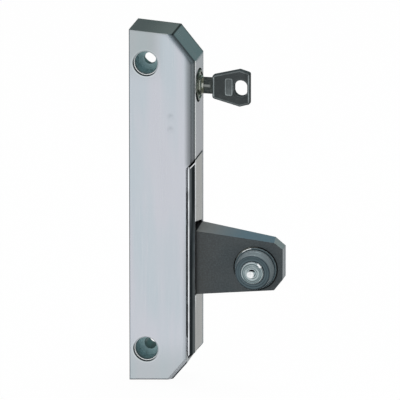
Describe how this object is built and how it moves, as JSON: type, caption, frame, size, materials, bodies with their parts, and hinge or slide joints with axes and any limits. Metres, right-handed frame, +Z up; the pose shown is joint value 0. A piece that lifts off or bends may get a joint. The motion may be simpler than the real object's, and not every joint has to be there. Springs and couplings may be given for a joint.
{
  "type": "lockable drawer latch",
  "caption": "Surface-mounted drawer latch with a swing-out lever, an arm with a tapered roller and a key lock that blocks the lever.",
  "frame": {"origin": "middle between the two fixing holes, on the mounting plane at the back", "axes": "+Z up along the body, -Y out of the front face, +X towards the side with the lever, lock and arm"},
  "size_m": [0.085, 0.0277, 0.2],
  "materials": {
    "body_chrome": "polished, softly brushed chrome on a zinc die casting",
    "lever_chrome": "chrome, side face satin",
    "cover_zinc": "zinc-plated sheet",
    "screw_steel": "dark zinc-plated screws",
    "pin_steel": "ground steel pins",
    "spring_steel": "spring wire",
    "arm_paint": "charcoal, finely textured powder coat",
    "roller_steel": "dark turned steel",
    "bright_steel": "bright turned steel",
    "bronze": "sintered bronze bushes",
    "lock_chrome": "bright nickel rim",
    "plug_brass": "brass plug",
    "slide_zinc": "zinc-plated slide",
    "guide_zinc": "die-cast guide",
    "key_nickel": "nickel-plated key",
    "key_plastic": "black moulded head"
  },
  "bodies": {
    "body": {"housing": "body_chrome", "back_plate": "cover_zinc", "cover_screw_1": "screw_steel", "cover_screw_2": "screw_steel", "cover_screw_3": "screw_steel", "cover_screw_4": "screw_steel", "lever_pin": "pin_steel", "lever_spring": "spring_steel", "arm_pin": "pin_steel", "arm_washer": "bronze", "lock_cylinder": "lock_chrome", "lock_clip": "spring_steel", "slide_guide": "guide_zinc", "guide_screw_1": "screw_steel", "guide_screw_2": "screw_steel", "detent_ball": "bright_steel", "detent_spring": "spring_steel", "detent_screw": "screw_steel"},
    "lever": {"lever": "lever_chrome"},
    "arm": {"roller_arm": "arm_paint", "arm_bush": "bronze", "roller_bush": "bronze", "roller_washer": "bright_steel", "roller_screw": "bright_steel", "roller_nut": "bright_steel"},
    "roller": {"roller": "roller_steel"},
    "plug": {"lock_plug": "plug_brass", "wafer_1": "plug_brass", "wafer_2": "plug_brass", "wafer_3": "plug_brass", "wafer_4": "plug_brass", "wafer_5": "plug_brass", "lock_cam": "slide_zinc", "cam_pin": "pin_steel", "cam_screw": "screw_steel"},
    "slide": {"locking_slide": "slide_zinc"},
    "key": {"key_blade": "key_nickel", "key_head": "key_plastic"}
  },
  "joints": [
    {"name": "lever_swing", "type": "hinge", "parent": "body", "child": "lever", "pos_m": [0.018, -0.012, -0.0855], "axis": [0, 1, 0], "range_deg": [0, 13], "deforming": ["lever_spring"]},
    {"name": "arm_swing", "type": "hinge", "parent": "body", "child": "arm", "pos_m": [0.0035, -0.011, -0.032], "axis": [0, 1, 0], "range_deg": [0, 6]},
    {"name": "roller_spin", "type": "hinge", "parent": "arm", "child": "roller", "pos_m": [0.0604, -0.023, -0.0329], "axis": [0, 1, 0], "continuous": true},
    {"name": "plug_turn", "type": "hinge", "parent": "body", "child": "plug", "pos_m": [0.02, -0.011, 0.0674], "axis": [1, 0, 0], "range_deg": [0, 90]},
    {"name": "slide_drop", "type": "slide", "parent": "body", "child": "slide", "axis": [0, 0, -1], "range_m": [0, 0.00707]},
    {"name": "key_pull", "type": "slide", "parent": "plug", "child": "key", "axis": [1, 0, 0], "range_m": [0, 0.03]}
  ],
  "couplings": [
    {"joint": "arm_swing", "follows": "lever_swing", "ratio": 0.45},
    {"joint": "plug_turn", "follows": "slide_drop", "rad_per_m": 222.14}
  ]
}
